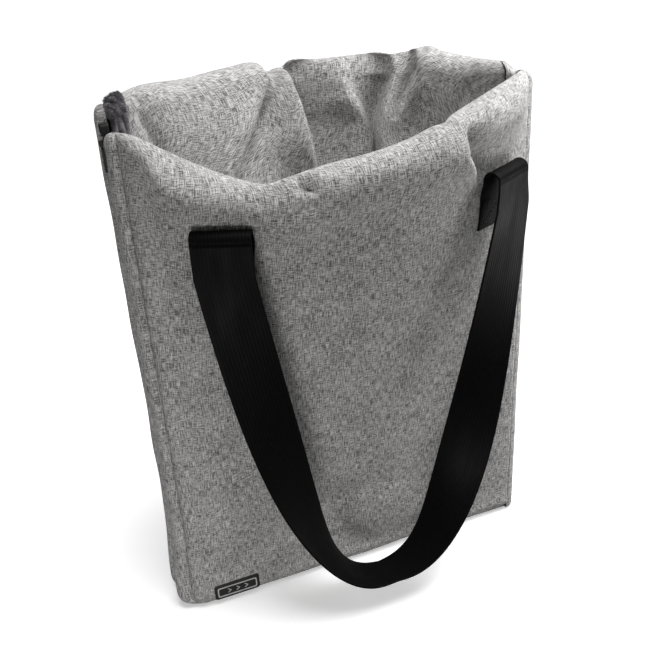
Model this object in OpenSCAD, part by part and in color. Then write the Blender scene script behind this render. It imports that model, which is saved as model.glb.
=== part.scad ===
// Foldable tote bag: two padded walls that fold about a spine and zip together.
// Millimetres. Origin at the middle of the base of its box, X to the right, front wall faces -Y, Z up.

/* [Bag] */
// Width of the closed bag, from the zip side to the end of the walls
bag_w = 380; // [340:10:420]
// Height of the front wall at its corners
bag_h = 500; // [440:10:540]
// Extra height of the back wall over the front wall
back_rise = 12; // [4:1:20]
// Thickness of each padded wall
wall_t = 22; // [20:1:26]
// Radius of the lower corner on the zip side
corner_r = 18; // [12:1:30]

/* [Mouth] */
// How far each wall bows out at the middle of its lip
mouth_bulge = 92; // [60:1:110]
// How quickly the bow grows with height
bulge_power = 1.7; // [1.4:0.1:2.2]
// Sag of the front lip at its middle
front_sag = 28; // [0:1:40]
// Depth of the extra dip in the front lip
front_dip = 16; // [0:1:24]
// Sag of the back lip at its middle
back_sag = 6; // [0:1:20]

/* [Fabric] */
// Thickness of the outer cloth, the lining and the side bands
cloth_t = 1.2; // [0.8:0.1:1.6]
// Thickness of the plush mat inside the back wall
plush_t = 8; // [6:1:10]
// Width of the plush margin beside the back lining
plush_margin = 18; // [12:1:24]
// How far the outer cloth turns down inside the lip
lip_turn = 118; // [60:1:120]

/* [Zip] */
// Gap between the two walls along the zip
zip_gap = 12; // [12:1:14]
// Width of one row of coil
coil_w = 2.3; // [1.8:0.1:2.4]
// Length of the slider
slider_len = 14; // [12:1:18]
// Length of the pull tab below its pivot
pull_len = 24; // [18:1:30]
// Radius of the pull tab's pivot bar
bar_r = 0.9; // [0.7:0.05:1.0]

/* [Handles] */
// Width of the webbing
webbing_w = 50; // [40:1:50]
// Thickness of the webbing
webbing_t = 1.6; // [1.2:0.1:2.0]
// Distance of the left leg from the middle, where it is sewn to the wall
left_leg_x = 120; // [110:1:130]
// Distance of the right leg from the middle, where it is sewn to the wall
right_leg_x = 135; // [125:1:140]
// Height at which the left leg leaves the wall
left_fold_z = 415; // [390:1:425]
// Height at which the right leg leaves the wall
right_fold_z = 422; // [390:1:425]
// Radius of the fold over the top of each leg
fold_r = 7.5; // [6:0.5:9]
// Height of the webbing at the bottom of the loop
loop_z = 30; // [28:1:120]
// Distance of the bottom of the loop from the middle of the bag
loop_y = 88; // [84:1:95]
// Length of webbing sewn to the wall below each fold
anchor_len = 50; // [40:1:60]

/* [Badge] */
// Width of the badge
badge_w = 48; // [36:1:52]
// Height of the badge
badge_h = 18; // [14:1:24]
// Thickness of the badge
badge_t = 1.8; // [1.4:0.1:2.4]

/* [Hidden] */

half_w = bag_w / 2;
lip_r = wall_t / 2;
gap_y = zip_gap / 2;
outer_y = gap_y + wall_t;
// Moves the plane of the zip so that the origin lies under the middle of the open bag
zip_plane_y = -3.4;
// End of the walls at the spine, and the spine's own place beside it
wall_end = half_w - 4.8;
spine_x = half_w - 4;
spine_bow = 9.5;
spine_half = outer_y - 1;
spine_lining_drop = 45;
// Facets of a quarter turn over the lip, across the wall and up the wall
quarter_steps = 5;
across_steps = 16;
up_steps = 9;
// Rows of facets over the height where the outer cloth is turned in
turn_steps = 3;
// Place of the second row of facets from the left, the same in every layer
second_x = plush_margin + 12 - half_w;
// Clearance left between pieces that move past each other
play = 0.3;
// Gap between two layers with the same facets, and between layers with different ones
layer_gap = 0.1;
loose_gap = 0.6;
// How far the padding stays under the lip, and how square its crown is
crown_gap = 2;
crown_square = 0.7;
// Moves the widest place of the mouth a little towards the spine
bow_skew = 1.05;

// The extra dip in the front lip is left of the middle
dip_x = -85;
dip_w = 45;

// Zip layers, measured inwards from the outline of the bag
coil_in = 0.4;
coil_t = 2.5;
coil_y = 0.9;
tape_in = coil_in + coil_t;
tape_t = 0.8;
tape_y = 1.2;
zip_top = bag_h - 6;
zip_end_h = 5;
zip_stop_w = 4;
zip_stop_in = 7.5;
slider_top = zip_top - 2;

// Handles
loop_x = 3;
loop_power = 2.65;
leg_straight = 1.03;
loop_twist = 107;
twist_at = 0.59;
twist_width = 0.2;
leg_steps = 18;
fold_steps = 6;
sewn_gap = 1.0;

badge_x = -142;
badge_z = 16;
badge_corner = 3;
badge_gap = 0.4;
// Raised mark on the badge: a frame and a row of chevrons
mark_t = 0.4;
line_w = 1.2;
frame_margin = 3;
frame_corner = 2;
chevrons = 3;
chevron_pitch = 9;
chevron_h = 4.8;
chevron_w = 3;

cloth_grey = [0.55, 0.55, 0.54];
lining_grey = [0.60, 0.60, 0.59];
webbing_black = [0.05, 0.05, 0.05];
zip_black = [0.08, 0.08, 0.08];
plush_grey = [0.25, 0.24, 0.26];
padding_white = [0.92, 0.92, 0.90];
mark_silver = [0.75, 0.75, 0.75];

// ---------- the bowed wall ----------

// Left edge of a layer that lies inset inside the outline, at height z
function left_edge(z, inset) = z >= corner_r ? inset - half_w
    : corner_r - half_w - sqrt(max(0, pow(corner_r - inset, 2) - pow(corner_r - z, 2)));

// Bow of the wall at place x and height z
function bow(x, z) = mouth_bulge * pow(max(z, 0) / bag_h, bulge_power)
    * sin(180 * pow(max(0, (x + half_w) / (wall_end + half_w)), bow_skew));

// How far the lip drops at place x
function lip_drop(x, front) = (front ? front_sag : back_sag) * cos(90 * x / half_w)
    + (front ? front_dip * exp(-pow((x - dip_x) / dip_w, 2)) : 0);

function wall_h(front) = bag_h + (front ? 0 : back_rise);

// Height after the lip's drop is spread down the wall
function dropped(x, z, front) = z - lip_drop(x, front) * pow(z / wall_h(front), 3);

// A point of the wall: x across, n outwards from the inner face, z up
function wall_point(x, n, z, front) = let (zd = dropped(x, z, front))
    [x, gap_y + n + bow(x, zd), zd];

// Heights of the rows of a layer up to where the outer cloth turns in, closer round the lower corner
function rows(h) = concat(
    [for (i = [0 : 3]) cloth_t + (corner_r - cloth_t) * (1 - cos(30 * i))],
    [for (i = [1 : up_steps]) corner_r + (h - lip_turn - corner_r) * i / up_steps]);

// The rows of the height where the outer cloth is turned in, up to just under the roll of the lip
function turn_rows(h) = [for (i = [1 : turn_steps])
    h - lip_turn + (lip_turn - lip_r - 1) * i / turn_steps];

function full_rows(h) = concat(rows(h), turn_rows(h));

// Place of station i of a row that starts at x0
function station_x(i, x0) = i == 0 ? x0
    : second_x + (wall_end - second_x) * (i - 1) / (across_steps - 1);

// Outer quarter of the lip, with radius r about the lip's middle
function lip_arc(h, r) = [for (i = [0 : quarter_steps])
    let (a = 90 * i / quarter_steps) [lip_r + r * cos(a), h - lip_r + r * sin(a)]];

// Triangles of a swept ring, for rings of even length whose two halves run side by side
// Both halves split their quads along the same diagonal, so a thin twisted layer keeps its thickness
// Past edge turn_at the rows run downwards, so the diagonal changes to match the layers beside them
function swept_faces(stations, ring, turn_at = 1000) = concat(
    [for (i = [0 : stations - 2], j = [0 : ring - 1])
        let (a = i * ring + j, b = i * ring + (j + 1) % ring, first_half = j < ring / 2,
             turned = (first_half ? j : ring - 2 - j) >= turn_at)
        each first_half != turned ? [[a, b + ring, b], [a, a + ring, b + ring]]
            : [[a, a + ring, b], [b, a + ring, b + ring]]],
    [for (k = [0 : ring / 2 - 2]) each [[k, k + 1, ring - 2 - k], [k, ring - 2 - k, ring - 1 - k]]],
    [for (k = [0 : ring / 2 - 2]) let (s = (stations - 1) * ring)
        each [[s + k, s + ring - 2 - k, s + k + 1], [s + k, s + ring - 1 - k, s + ring - 2 - k]]]);

function reversed(list) = [for (i = [len(list) - 1 : -1 : 0]) list[i]];

// One layer of a wall between an outer and an inner path of [n, z] points of equal length
// A point's third value, if it has one, is how far inside the left outline its row starts
module wall_layer(outer, inner, front, inset, turn_at = 1000) {
    ring = concat(outer, reversed(inner));
    points = [for (i = [0 : across_steps], p = ring)
        let (start = len(p) > 2 ? p[2] : 0,
             x0 = max(left_edge(p[1], inset), start - half_w))
        wall_point(station_x(i, x0), p[0], p[1], front)];
    mirror([0, front ? 1 : 0, 0])
        polyhedron(points, swept_faces(across_steps + 1, len(ring), turn_at), convexity = 6);
}

// Outer cloth: up the outside, over the lip and down the inside, where it starts at start
module shell_layer(front, start) {
    h = wall_h(front);
    rise = full_rows(h);
    turn_angles = [for (i = [1 : quarter_steps]) 90 + 90 * i / quarter_steps];
    fall = concat([for (i = [turn_steps - 2 : -1 : 0]) turn_rows(h)[i]], [h - lip_turn]);
    function path(n_rise, n_turn, r) = concat(
        [for (z = rise) [n_rise, z]], lip_arc(h, r),
        [for (a = turn_angles) [lip_r + r * cos(a), h - lip_r + r * sin(a), start]],
        [for (z = fall) [n_turn, z, start]]);
    wall_layer(path(wall_t, 0, lip_r), path(wall_t - cloth_t, cloth_t, lip_r - cloth_t), front,
        cloth_t, len(rise) + quarter_steps);
}

// Padding between two depths, rounded at the lip when it fills the whole wall
module core_layer(front, n_in, n_out, top) {
    rise = full_rows(wall_h(front));
    shoulder = rise[len(rise) - 1];
    mid = (n_in + n_out) / 2;
    half = (n_out - n_in) / 2;
    crown = [for (i = [1 : quarter_steps]) let (a = 90 * i / quarter_steps)
        [half * (1 - crown_square * (1 - cos(a))), shoulder + (top - shoulder) * sin(a)]];
    outer = concat([for (z = rise) [n_out, z]], [for (c = crown) [mid + c[0], c[1]]]);
    inner = concat([for (z = rise) [n_in, z]], [for (c = crown) [mid - c[0], c[1]]]);
    wall_layer(outer, inner, front, cloth_t);
}

module lining_layer(front, start) {
    top = wall_h(front) - lip_turn - play;
    rise = [for (z = rows(wall_h(front))) min(z, top)];
    wall_layer([for (z = rise) [cloth_t, z, start]], [for (z = rise) [0, z, start]], front, cloth_t);
}

module front_shell() {
    color(cloth_grey) shell_layer(true, 0);
}

module front_padding() {
    color(padding_white)
        core_layer(true, cloth_t + layer_gap, wall_t - cloth_t - layer_gap, bag_h - cloth_t - crown_gap);
}

module front_lining() {
    color(lining_grey) lining_layer(true, 0);
}

module back_shell() {
    color(cloth_grey) shell_layer(false, plush_margin);
}

// Depths of the two faces of the plush mat, and the top of the core of the back wall
plush_near = cloth_t + loose_gap;
plush_far = plush_near + plush_t;
back_core_top = bag_h + back_rise - lip_r + 4;

module back_padding() {
    color(padding_white)
        core_layer(false, plush_far + layer_gap, wall_t - cloth_t - layer_gap, back_core_top);
}

module back_lining() {
    color(lining_grey) lining_layer(false, plush_margin);
}

// The plush lies behind the lining and shows beside it as a soft margin
module plush_mat() {
    steps = 12;
    top = bag_h + back_rise - lip_r;
    low_x = cloth_t + layer_gap;
    high_x = plush_margin - play;
    margin_t = cloth_t - 2 * layer_gap;
    points = [for (i = [0 : steps], p = [[high_x, margin_t], [low_x, margin_t], [low_x, 0], [high_x, 0]])
        wall_point(p[0] - half_w, p[1], corner_r + (top - corner_r) * i / steps, false)];
    color(plush_grey) {
        core_layer(false, plush_near, plush_far, back_core_top);
        polyhedron(points, swept_faces(steps + 1, 4), convexity = 4);
    }
}

// ---------- side bands and zip, both along the left side and the base ----------

// Outline between two insets, down the left side, round the corner and along the base
module edge_path(inset, thickness, top, right) {
    arc = [for (i = [0 : 6]) 180 + 15 * i];
    centre = [corner_r - half_w, corner_r];
    r_out = corner_r - inset;
    r_in = r_out - thickness;
    polygon(concat(
        [[inset - half_w, top]],
        [for (a = arc) centre + r_out * [cos(a), sin(a)]],
        [[right, inset]], [[right, inset + thickness]],
        [for (a = reversed(arc)) centre + r_in * [cos(a), sin(a)]],
        [[inset + thickness - half_w, top]]));
}

// An edge path given depth between two distances from the middle plane
module edge_strip(inset, thickness, y_near, y_far, top, right, front) {
    translate([0, front ? -y_near : y_far, 0])
        rotate([90, 0, 0])
            linear_extrude(y_far - y_near)
                edge_path(inset, thickness, top, right);
}

module front_side_band() {
    color(cloth_grey) edge_strip(0, cloth_t, gap_y, outer_y, bag_h - lip_r, wall_end, true);
}

module back_side_band() {
    color(cloth_grey)
        edge_strip(0, cloth_t, gap_y, outer_y, bag_h + back_rise - lip_r, wall_end, false);
}

module zip_tape_front() {
    color(zip_black) edge_strip(tape_in, tape_t, tape_y, gap_y, zip_top, wall_end - 2, true);
}

module zip_tape_back() {
    color(zip_black) edge_strip(tape_in, tape_t, tape_y, gap_y, zip_top, wall_end - 2, false);
}

module zip_coil_front() {
    color(zip_black)
        edge_strip(coil_in, coil_t, coil_y, coil_y + coil_w, zip_top - 1, wall_end - 8, true);
}

module zip_coil_back() {
    color(zip_black)
        edge_strip(coil_in, coil_t, coil_y, coil_y + coil_w, zip_top - 1, wall_end - 8, false);
}

// Folded cloth end that closes the top of one zip tape
module zip_end(front) {
    length = gap_y - tape_y;
    color(zip_black)
        translate([coil_in - half_w, front ? -gap_y : tape_y, zip_top])
            cube([coil_t + tape_t, length, zip_end_h]);
}

module zip_end_front() {
    zip_end(true);
}

module zip_end_back() {
    zip_end(false);
}

// Stop across both rows of coil where the zip ends at the spine
module zip_bottom_stop() {
    color(zip_black)
        translate([wall_end - zip_stop_in, -tape_y + play, coil_in])
            cube([zip_stop_w, gap_y + tape_y - 2 * play, coil_t]);
}

// ---------- slider and pull ----------

slider_y = gap_y - 1;
plate_t = 1.2;
plate_clear = 1.3;
plate_out = half_w + plate_clear;
plate_in = half_w - tape_in - tape_t - 0.5;
// The plates narrow below the wedge
plate_head_h = 8;
plate_tail_h = 6;
plate_taper = 1;
post_y = 0.5;
post_h = 4.6;
post_below = 5;
bar_reach = 2.3;
bar_x = -(plate_out + bar_reach);
bar_z = slider_top - post_below;
eye_wall = 0.95;
eye_r = bar_r + eye_wall;
eye_half = 1.3;
cheek_t = 1.1;
bar_clearance = 0.05;

module slider_plate(x) {
    translate([x, 0, slider_top - slider_len / 2])
        rotate([0, 90, 0])
            linear_extrude(plate_t)
                hull() {
                    translate([(slider_len - plate_tail_h) / 2, 0])
                        square([plate_tail_h, 2 * (slider_y - plate_taper)], center = true);
                    translate([(plate_head_h - slider_len) / 2, 0])
                        square([plate_head_h, 2 * slider_y], center = true);
                }
}

module zip_slider() {
    lip_depth = 2.2;
    lip_t = 1;
    cheek_h = 3.6;
    overlap = 0.1;
    bar_end = 0.5;
    color(zip_black) {
        slider_plate(-plate_out);
        slider_plate(-plate_in);
        // Wedge between the two rows of coil
        translate([-plate_out + overlap, -post_y, slider_top - post_below])
            cube([plate_out - plate_in, 2 * post_y, post_h]);
        // Lips that wrap round the coil
        for (side = [-1, 1])
            translate([-plate_out + plate_t - overlap, side < 0 ? -slider_y : slider_y - lip_t,
                slider_top - plate_head_h])
                cube([lip_depth, lip_t, plate_head_h]);
        // Cheeks and bar that carry the pull
        for (side = [-1, 1])
            translate([bar_x - eye_r, side < 0 ? -eye_half - play - cheek_t : eye_half + play,
                bar_z - cheek_h / 2])
                cube([-bar_x + eye_r - plate_out + 2 * overlap, cheek_t, cheek_h]);
        translate([bar_x, -eye_half - play - bar_end, bar_z])
            rotate([-90, 0, 0])
                cylinder(r = bar_r, h = 2 * (eye_half + play + bar_end), $fn = 32);
    }
}

module zip_pull() {
    tab_w = 7;
    tab_t = 1.4;
    neck_len = 5;
    neck_overlap = 1;
    color(zip_black)
        difference() {
            union() {
                translate([bar_x, -eye_half, bar_z])
                    rotate([-90, 0, 0])
                        cylinder(r = eye_r, h = 2 * eye_half, $fn = 32);
                translate([bar_x - tab_t / 2, -eye_half, bar_z - neck_len])
                    cube([tab_t, 2 * eye_half, neck_len]);
                translate([bar_x - tab_t / 2, -tab_w / 2, bar_z - pull_len + tab_w / 2])
                    cube([tab_t, tab_w, pull_len - tab_w / 2 - neck_len + neck_overlap]);
                translate([bar_x - tab_t / 2, 0, bar_z - pull_len + tab_w / 2])
                    rotate([0, 90, 0])
                        cylinder(r = tab_w / 2, h = tab_t, $fn = 32);
            }
            translate([bar_x, -eye_half - neck_overlap, bar_z])
                rotate([-90, 0, 0])
                    cylinder(r = bar_r + bar_clearance, h = 2 * (eye_half + neck_overlap), $fn = 32);
        }
}

// ---------- spine ----------

module spine_arc(rx, ry) {
    polygon([for (i = [0 : 12]) let (a = -90 + 15 * i) [rx * cos(a), ry * sin(a)]]);
}

module spine_panel() {
    color(cloth_grey)
        translate([spine_x, 0, 0])
            linear_extrude(bag_h)
                difference() {
                    spine_arc(spine_bow, spine_half);
                    translate([-0.01, 0]) spine_arc(spine_bow - cloth_t, spine_half - cloth_t);
                }
}

module spine_lining() {
    color(lining_grey)
        translate([wall_end - 1.7, play - gap_y, cloth_t])
            cube([cloth_t, 2 * (gap_y - play), bag_h - spine_lining_drop]);
}

// ---------- handles ----------

function leg_x(side) = side < 0 ? -left_leg_x : right_leg_x;

function fold_z(side) = side < 0 ? left_fold_z : right_fold_z;

// Direction of the wall where the webbing of one leg leaves it
function wall_turn(side) = let (x = leg_x(side), z = fold_z(side), step = 1)
    atan((bow(x + step, z) - bow(x - step, z)) / (2 * step));

// Middle of the root of one leg, just outside the wall
function root_point(side) = let (x = leg_x(side), z = fold_z(side))
    [x, -(outer_y + bow(x, z) + sewn_gap + webbing_t + play), z + play];

function outward(side) = let (a = wall_turn(side)) [-sin(a), -cos(a), 0];

// Share of the loop's twist that is reached at place s, 0 at the bottom and 1 at a leg's top
function twist_share(s) = let (
    low = 1 / (1 + exp(-twist_at / twist_width)),
    high = 1 / (1 + exp((1 - twist_at) / twist_width)),
    here = 1 / (1 + exp((s - twist_at) / twist_width)))
    (here - high) / (low - high);

// Middle line of the hanging loop, s from -1 at the left leg to 1 at the right leg
function loop_point(s) = let (
    side = s < 0 ? -1 : 1,
    top = root_point(side) + 2 * fold_r * outward(side),
    share = abs(s))
    [loop_x + min(1, leg_straight * share) * (top[0] - loop_x),
     -loop_y + (top[1] + loop_y) * pow(share, 1.5),
     loop_z + (top[2] - loop_z) * pow(share, loop_power)];

function unit(v) = v / norm(v);

function loop_along(s) = unit(loop_point(min(1, s + 0.01)) - loop_point(max(-1, s - 0.01)));

// Direction from the middle line to the outer edge of the webbing
function loop_outer(s) = let (
    along = loop_along(s),
    side = s < 0 ? -1 : 1,
    flat = unit(cross([0, 1, 0], along)),
    lean = abs(wall_turn(side)),
    turn = loop_twist * twist_share(abs(s)) - lean * s * s * (1 - twist_share(abs(s))),
    mixed = flat * cos(turn) + [0, -1, 0] * sin(turn))
    unit(mixed - along * (mixed * along));

// Four corners of the webbing about a middle point
function webbing_ring(middle, outer, face) = [for (c = [[1, 1], [1, -1], [-1, -1], [-1, 1]])
    middle + outer * c[0] * webbing_w / 2 + face * c[1] * webbing_t / 2];

// Ring at angle a of the fold over the top of one leg, 0 at the root and 180 at the leg
function fold_ring(side, a) = let (
    out = outward(side),
    outer = [side * abs(out[1]), abs(out[0]), 0],
    middle = root_point(side) + fold_r * (1 - cos(a)) * out + [0, 0, fold_r * sin(a)],
    travel = (out * sin(a) + [0, 0, cos(a)]) * -side)
    webbing_ring(middle, outer, cross(travel, outer));

module handle(front) {
    left = [for (i = [0 : fold_steps]) fold_ring(-1, 180 * i / fold_steps)];
    loop = [for (i = [1 - leg_steps : leg_steps - 1])
        let (s = 0.5 * i / leg_steps + 0.5 * sin(90 * i / leg_steps), outer = loop_outer(s))
        webbing_ring(loop_point(s), outer, cross(loop_along(s), outer))];
    right = [for (i = [fold_steps : -1 : 0]) fold_ring(1, 180 * i / fold_steps)];
    rings = concat(left, loop, right);
    color(webbing_black)
        mirror([0, front ? 0 : 1, 0])
            polyhedron([for (r = rings, p = r) p], swept_faces(len(rings), 4), convexity = 8);
}

module front_handle() {
    handle(true);
}

module back_handle() {
    handle(false);
}

// End of the webbing, sewn flat to the wall below the fold
module anchor(side, front) {
    root = root_point(side);
    reach = webbing_w / 2 * abs(outward(side)[1]);
    steps = 4;
    // Rings run across the webbing, each from the low edge to the high edge and back
    points = [for (i = [0 : steps], p = [[1, 0], [1, 1], [0, 1], [0, 0]])
        let (x = root[0] + reach * (2 * i / steps - 1),
             z = fold_z(side) - anchor_len * (1 - p[1]))
        [x, outer_y + sewn_gap + webbing_t * p[0] + bow(x, z), z]];
    color(webbing_black)
        mirror([0, front ? 1 : 0, 0])
            polyhedron(points, swept_faces(steps + 1, 4), convexity = 4);
}

module front_anchor_left() {
    anchor(-1, true);
}

module front_anchor_right() {
    anchor(1, true);
}

module back_anchor_left() {
    anchor(-1, false);
}

module back_anchor_right() {
    anchor(1, false);
}

// ---------- badge ----------

module rounded_plate(w, h, r) {
    polygon([for (q = [0 : 3], i = [0 : 4]) let (a = 90 * q + 22.5 * i)
        [(w / 2 - r) * (q == 0 || q == 3 ? 1 : -1) + r * cos(a),
         (h / 2 - r) * (q < 2 ? 1 : -1) + r * sin(a)]]);
}

badge_y = -(outer_y + bow(badge_x, badge_z) + badge_gap);

module badge() {
    color(webbing_black)
        translate([badge_x, badge_y, badge_z])
            rotate([90, 0, 0])
                linear_extrude(badge_t)
                    rounded_plate(badge_w, badge_h, badge_corner);
}

// Raised outline and a row of chevrons, a plain mark
module badge_inlay() {
    frame_w = badge_w - 2 * frame_margin;
    frame_h = badge_h - 2 * frame_margin;
    color(mark_silver)
        translate([badge_x, badge_y - badge_t, badge_z])
            rotate([90, 0, 0])
                linear_extrude(mark_t) {
                    difference() {
                        rounded_plate(frame_w, frame_h, frame_corner);
                        rounded_plate(frame_w - 2 * line_w, frame_h - 2 * line_w,
                            frame_corner - line_w / 2);
                    }
                    for (i = [0 : chevrons - 1])
                        translate([chevron_pitch * (i - (chevrons - 1) / 2) - chevron_w / 2, 0])
                            polygon([[0, -chevron_h / 2], [line_w, -chevron_h / 2],
                                [chevron_w + line_w, 0], [line_w, chevron_h / 2],
                                [0, chevron_h / 2], [chevron_w, 0]]);
                }
}

translate([0, zip_plane_y, 0]) front_shell();
translate([0, zip_plane_y, 0]) front_padding();
translate([0, zip_plane_y, 0]) front_lining();
translate([0, zip_plane_y, 0]) front_side_band();
translate([0, zip_plane_y, 0]) back_shell();
translate([0, zip_plane_y, 0]) back_padding();
translate([0, zip_plane_y, 0]) back_lining();
translate([0, zip_plane_y, 0]) back_side_band();
translate([0, zip_plane_y, 0]) plush_mat();
translate([0, zip_plane_y, 0]) spine_panel();
translate([0, zip_plane_y, 0]) spine_lining();
translate([0, zip_plane_y, 0]) zip_tape_front();
translate([0, zip_plane_y, 0]) zip_tape_back();
translate([0, zip_plane_y, 0]) zip_coil_front();
translate([0, zip_plane_y, 0]) zip_coil_back();
translate([0, zip_plane_y, 0]) zip_end_front();
translate([0, zip_plane_y, 0]) zip_end_back();
translate([0, zip_plane_y, 0]) zip_bottom_stop();
translate([0, zip_plane_y, 0]) zip_slider();
translate([0, zip_plane_y, 0]) zip_pull();
translate([0, zip_plane_y, 0]) front_handle();
translate([0, zip_plane_y, 0]) back_handle();
translate([0, zip_plane_y, 0]) front_anchor_left();
translate([0, zip_plane_y, 0]) front_anchor_right();
translate([0, zip_plane_y, 0]) back_anchor_left();
translate([0, zip_plane_y, 0]) back_anchor_right();
translate([0, zip_plane_y, 0]) badge();
translate([0, zip_plane_y, 0]) badge_inlay();
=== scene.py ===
"""Looks of the foldable tote bag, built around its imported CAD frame. Metres, Z up, front wall faces -Y."""
import math

import bmesh
import bpy
import numpy as np
from mathutils import Matrix, Vector


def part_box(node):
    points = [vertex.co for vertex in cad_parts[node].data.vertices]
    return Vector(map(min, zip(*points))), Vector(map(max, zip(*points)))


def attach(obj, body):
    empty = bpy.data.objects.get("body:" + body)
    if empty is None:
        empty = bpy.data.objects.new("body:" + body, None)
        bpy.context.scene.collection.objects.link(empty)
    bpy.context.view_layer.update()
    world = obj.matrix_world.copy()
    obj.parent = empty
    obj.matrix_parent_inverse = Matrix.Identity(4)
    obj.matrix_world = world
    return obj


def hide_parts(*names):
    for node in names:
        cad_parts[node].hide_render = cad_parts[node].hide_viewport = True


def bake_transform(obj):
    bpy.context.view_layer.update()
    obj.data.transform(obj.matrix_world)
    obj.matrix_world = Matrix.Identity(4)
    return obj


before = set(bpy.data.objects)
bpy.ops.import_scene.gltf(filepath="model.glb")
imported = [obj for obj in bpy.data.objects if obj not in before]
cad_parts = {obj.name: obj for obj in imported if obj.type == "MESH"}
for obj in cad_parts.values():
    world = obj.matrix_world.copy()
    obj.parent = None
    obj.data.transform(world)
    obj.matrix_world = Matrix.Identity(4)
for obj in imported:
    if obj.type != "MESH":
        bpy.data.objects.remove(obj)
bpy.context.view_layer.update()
MM = 0.001

# ---------- sizes taken from the frame ----------
band_low, band_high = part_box("front_side_band")
back_band_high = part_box("back_side_band")[1]
HALF_W = -band_low.x                    # zip side of the bag
WALL_END = band_high.x                  # where the walls meet the spine
ZIP_Y = (band_low.y + back_band_high.y) / 2     # plane of the zip; all shapes are made about it
OUTER_Y = ZIP_Y - band_low.y            # outer face of a wall at its edges
GAP_Y = ZIP_Y - band_high.y             # inner face of a wall at its edges
HALF_T = (OUTER_Y - GAP_Y) / 2          # half of a wall's thickness
MID_Y = (OUTER_Y + GAP_Y) / 2
BAG_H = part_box("spine_panel")[1].z
SPINE_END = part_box("spine_panel")[1].x
X_END = WALL_END - 4 * MM               # right edge of the walls' cloth, where the spine's cloth begins
PLUSH_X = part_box("back_lining")[0].x    # where the plush margin ends and the lining begins

# ---------- shape of the mouth, as in the frame ----------
MOUTH_BULGE = 92 * MM
BULGE_POWER = 1.7
BOW_SKEW = 1.05

# Lip height across the bag: (x, z) in millimetres
FRONT_LIP = [(-190, 500), (-174, 497), (-154, 484), (-128, 472), (-101, 462), (-82, 456), (-60, 462),
             (-37, 467), (4, 472), (50, 479), (85, 487), (125, 493), (165, 496), (190, 499)]
BACK_LIP = [(-190, 512), (-160, 517), (-110, 514), (-60, 513), (-32, 512), (-15, 504), (3, 508),
            (40, 508), (80, 509), (116, 511), (126, 515), (142, 508), (168, 502), (190, 499)]

GROOVE_IN = 5 * MM                      # seam between a wall's face and its side band
LEFT_SEAM = -HALF_W + GROOVE_IN
CORNER_R = 15 * MM
LIP_TURN = 100 * MM                     # how far the outer cloth turns down inside, below the roll
LINING_NEAR = 1.5 * MM                  # the lining comes no nearer to the zip's plane
PUFF = 9 * MM                           # extra roundness of the lip roll
PUFF_BELOW, PUFF_FULL = 66 * MM, 20 * MM        # the roll begins and is full this far below the lip's top
CLOTH_T = 1.2 * MM
WALLS = {True: "front", False: "back"}          # words used in names; the keys say whether it is the front
SIDES = {-1: "left", 1: "right"}


def smoothstep(x, low, high):
    t = np.clip((x - low) / (high - low), 0, 1)
    return t * t * (3 - 2 * t)


def curve_through(points, x):
    """Smooth curve through given (x, value) points, both in millimetres; x and the result in metres."""
    px = np.array([p[0] for p in points], float) * MM
    py = np.array([p[1] for p in points], float) * MM
    slope = np.gradient(py, px)
    x = np.clip(x, px[0], px[-1])
    i = np.clip(np.searchsorted(px, x) - 1, 0, len(px) - 2)
    width = px[i + 1] - px[i]
    t = (x - px[i]) / width
    return ((2 * t ** 3 - 3 * t ** 2 + 1) * py[i] + (t ** 3 - 2 * t ** 2 + t) * width * slope[i]
            + (3 * t ** 2 - 2 * t ** 3) * py[i + 1] + (t ** 3 - t ** 2) * width * slope[i + 1])


def bow(x, z):
    """How far a wall bows out at place x and height z."""
    share = np.clip((x + HALF_W) / (WALL_END + HALF_W), 0, 1) ** BOW_SKEW
    return MOUTH_BULGE * np.clip(z / BAG_H, 0, None) ** BULGE_POWER * np.sin(np.pi * share)


def bow_slopes(x, z, step):
    """How fast a wall's bow grows across the bag and upwards."""
    across = bow(x + step, z) - bow(x - step, z)
    upwards = bow(x, z + step) - bow(x, z - step)
    return across / (2 * step), upwards / (2 * step)


def unit(v):
    return v / np.linalg.norm(v, axis=-1, keepdims=True)


def path_lengths(points):
    """Distance along a line of points, from its first point to each of them."""
    return np.concatenate([[0], np.cumsum(np.linalg.norm(np.diff(points, axis=0), axis=1))])


# ---------- mesh helpers ----------

def add_to_scene(name, data):
    obj = bpy.data.objects.new(name, data)
    bpy.context.scene.collection.objects.link(obj)
    return obj


def make_object(name, mesh, material):
    mesh.materials.append(material)
    return add_to_scene(name, mesh)


def mesh_from(name, verts, faces, uvs=None, smooth=True):
    """Mesh from points about the zip's plane and faces; uvs is one place per point, in metres of cloth."""
    mesh = bpy.data.meshes.new(name)
    faces = faces.tolist() if isinstance(faces, np.ndarray) else faces
    mesh.from_pydata((np.asarray(verts, float) + [0, ZIP_Y, 0]).tolist(), [], faces)
    if uvs is not None:
        layer = mesh.uv_layers.new(name="cloth")
        loops = np.zeros(len(mesh.loops), np.int32)
        mesh.loops.foreach_get("vertex_index", loops)
        layer.data.foreach_set("uv", np.asarray(uvs, float)[loops].ravel())
    mesh.polygons.foreach_set("use_smooth", np.full(len(mesh.polygons), smooth))
    mesh.update()
    return mesh


def grid_faces(rows, cols, wrap=False):
    """Quads of a grid whose points are stored row by row."""
    i, j = np.meshgrid(np.arange(rows - 1), np.arange(cols if wrap else cols - 1), indexing="ij")
    a = (i * cols + j).ravel()
    b = (i * cols + (j + 1) % cols).ravel()
    return np.stack([a, b, b + cols, a + cols], 1)


def grid_object(name, grid, uv, material, flip=False):
    """Open surface through a grid of points; flip turns its outer side round."""
    rows, cols = grid.shape[:2]
    faces = grid_faces(rows, cols)
    if flip:
        faces = faces[:, ::-1]
    return make_object(name, mesh_from(name, grid.reshape(-1, 3), faces, uv.reshape(-1, 2)), material)


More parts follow.
